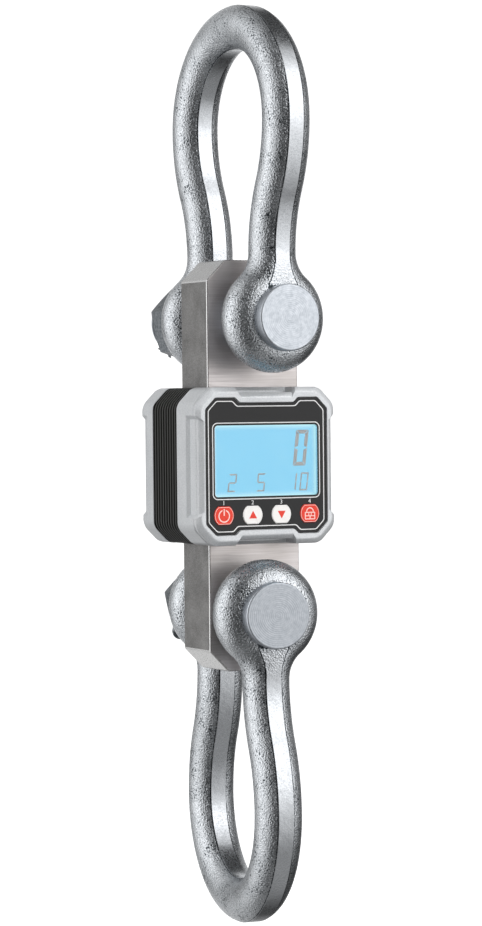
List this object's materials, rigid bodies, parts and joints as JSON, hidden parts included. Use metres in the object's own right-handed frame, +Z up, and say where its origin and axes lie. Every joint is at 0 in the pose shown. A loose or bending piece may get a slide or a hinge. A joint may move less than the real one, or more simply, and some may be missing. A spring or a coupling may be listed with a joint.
{
  "type": "digital crane scale",
  "caption": "Digital crane scale: a steel load plate between two bow shackles, with a square display housing clamped round its middle.",
  "frame": {"origin": "the hook's seat: the inside of the upper bow's crown, in the middle of its rod", "axes": "+Z up along the load line, -Y out of the display, +X to the right of someone who reads it"},
  "size_m": [0.095, 0.1621, 0.56],
  "materials": {
    "forged_steel": "hot-dip galvanised forging, mottled",
    "bolt_steel": "turned and zinc plated, satin",
    "nut_steel": "zinc plated",
    "plate_steel": "brushed along the load line",
    "shell_silver": "silver satin",
    "plastic_black": "matt",
    "panel_black": "satin film",
    "window_clear": "clear pane",
    "lcd_blue": "lit display",
    "key_red": "satin",
    "key_white": "satin",
    "board_green": "solder mask",
    "rubber": "matt",
    "cell_metal": "plain wrapped cell",
    "contact_metal": "bare",
    "lead_red": "insulated cable"
  },
  "bodies": {
    "upper_bow": {"upper_bow": "forged_steel"},
    "upper_bolt_set": {"upper_bolt": "bolt_steel", "upper_nut": "nut_steel", "upper_cotter": "nut_steel"},
    "load_cell": {"load_plate": "plate_steel", "strain_gauges": "contact_metal", "gauge_covers": "plate_steel", "gauge_lead": "rubber", "front_bezel": "shell_silver", "face_panel": "panel_black", "lcd_window": "window_clear", "lcd_glass": "lcd_blue", "lcd_backlight": "key_white", "key_switches": "plastic_black", "main_board": "board_green", "board_screws": "nut_steel", "buzzer": "plastic_black", "ribbed_sleeve": "plastic_black", "front_gasket": "rubber", "rear_gasket": "rubber", "upper_plate_seal": "rubber", "lower_plate_seal": "rubber", "rear_cover": "shell_silver", "housing_screws": "nut_steel", "battery_tray": "plastic_black", "batteries": "cell_metal", "battery_contacts": "contact_metal", "battery_lead": "lead_red", "battery_door": "shell_silver", "door_screws": "nut_steel"},
    "lower_bow": {"lower_bow": "forged_steel"},
    "lower_bolt_set": {"lower_bolt": "bolt_steel", "lower_nut": "nut_steel", "lower_cotter": "nut_steel"},
    "power_key": {"key_power": "key_red"},
    "up_key": {"key_up": "key_white"},
    "down_key": {"key_down": "key_white"},
    "lock_key": {"key_lock": "key_red"}
  },
  "joints": [
    {"name": "upper_bolt_turn", "type": "hinge", "parent": "upper_bow", "child": "upper_bolt_set", "pos_m": [0, 0, -0.1646], "axis": [0, 1, 0], "continuous": true},
    {"name": "upper_swing", "type": "hinge", "parent": "upper_bow", "child": "load_cell", "pos_m": [0, 0, -0.1646], "axis": [0, 1, 0], "range_deg": [-110, 110]},
    {"name": "lower_swing", "type": "hinge", "parent": "load_cell", "child": "lower_bow", "pos_m": [0, 0.0025, -0.3416], "axis": [0.1323, 0.9912, 0], "range_deg": [-110, 110]},
    {"name": "lower_bolt_turn", "type": "hinge", "parent": "lower_bow", "child": "lower_bolt_set", "pos_m": [0, 0.0025, -0.3416], "axis": [0.1323, 0.9912, 0], "continuous": true},
    {"name": "power_key_press", "type": "slide", "parent": "load_cell", "child": "power_key", "axis": [0, 1, 0], "range_m": [0, 0.0008], "stiffness_N_per_m": 600, "springref_m": -0.0005},
    {"name": "up_key_press", "type": "slide", "parent": "load_cell", "child": "up_key", "axis": [0, 1, 0], "range_m": [0, 0.0008], "stiffness_N_per_m": 600, "springref_m": -0.0005},
    {"name": "down_key_press", "type": "slide", "parent": "load_cell", "child": "down_key", "axis": [0, 1, 0], "range_m": [0, 0.0008], "stiffness_N_per_m": 600, "springref_m": -0.0005},
    {"name": "lock_key_press", "type": "slide", "parent": "load_cell", "child": "lock_key", "axis": [0, 1, 0], "range_m": [0, 0.0008], "stiffness_N_per_m": 600, "springref_m": -0.0005}
  ]
}
